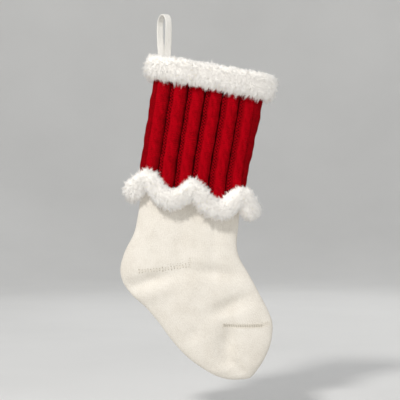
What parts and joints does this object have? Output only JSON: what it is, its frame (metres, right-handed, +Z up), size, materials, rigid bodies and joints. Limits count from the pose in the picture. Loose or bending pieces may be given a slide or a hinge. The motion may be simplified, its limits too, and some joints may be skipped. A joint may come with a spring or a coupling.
{
  "type": "hanging stocking",
  "caption": "Hanging stocking with a fur cuff, a cable-knit sleeve with a scalloped fur hem, a plain knitted sock with a hollow foot, and a hinged hanging loop.",
  "frame": {"origin": "centre of the space in the top of the hanging loop, where a hook sits", "axes": "+Z up as it hangs, +X towards the toe, +Y through the thickness, away from the front panel"},
  "size_m": [0.2172, 0.07, 0.5151],
  "materials": {
    "tape": "woven matte",
    "thread": "matte",
    "fur": "soft pile",
    "backing": "woven matte",
    "red_knit": "cable knit",
    "cream_jersey": "fine jersey"
  },
  "bodies": {
    "loop": {"hanging_loop": "tape"},
    "stocking": {"loop_tail": "tape", "loop_bar_tack": "thread", "cuff_pile": "fur", "cuff_backing": "backing", "mouth_binding": "backing", "knit_sleeve_front": "red_knit", "knit_sleeve_back": "red_knit", "sleeve_seam_heel_side": "red_knit", "sleeve_seam_toe_side": "red_knit", "hem_fur": "fur", "hem_binding": "red_knit", "sock_leg": "cream_jersey", "heel_pocket": "cream_jersey", "sock_foot": "cream_jersey", "toe_cap": "cream_jersey", "toe_seam": "thread", "heel_gore_stitches": "thread", "toe_gore_stitches": "thread"}
  },
  "joints": [
    {"name": "loop_fold", "type": "hinge", "parent": "loop", "child": "stocking", "pos_m": [0.0005, 0, -0.053], "axis": [1, 0, 0], "range_deg": [-50, 50]}
  ]
}
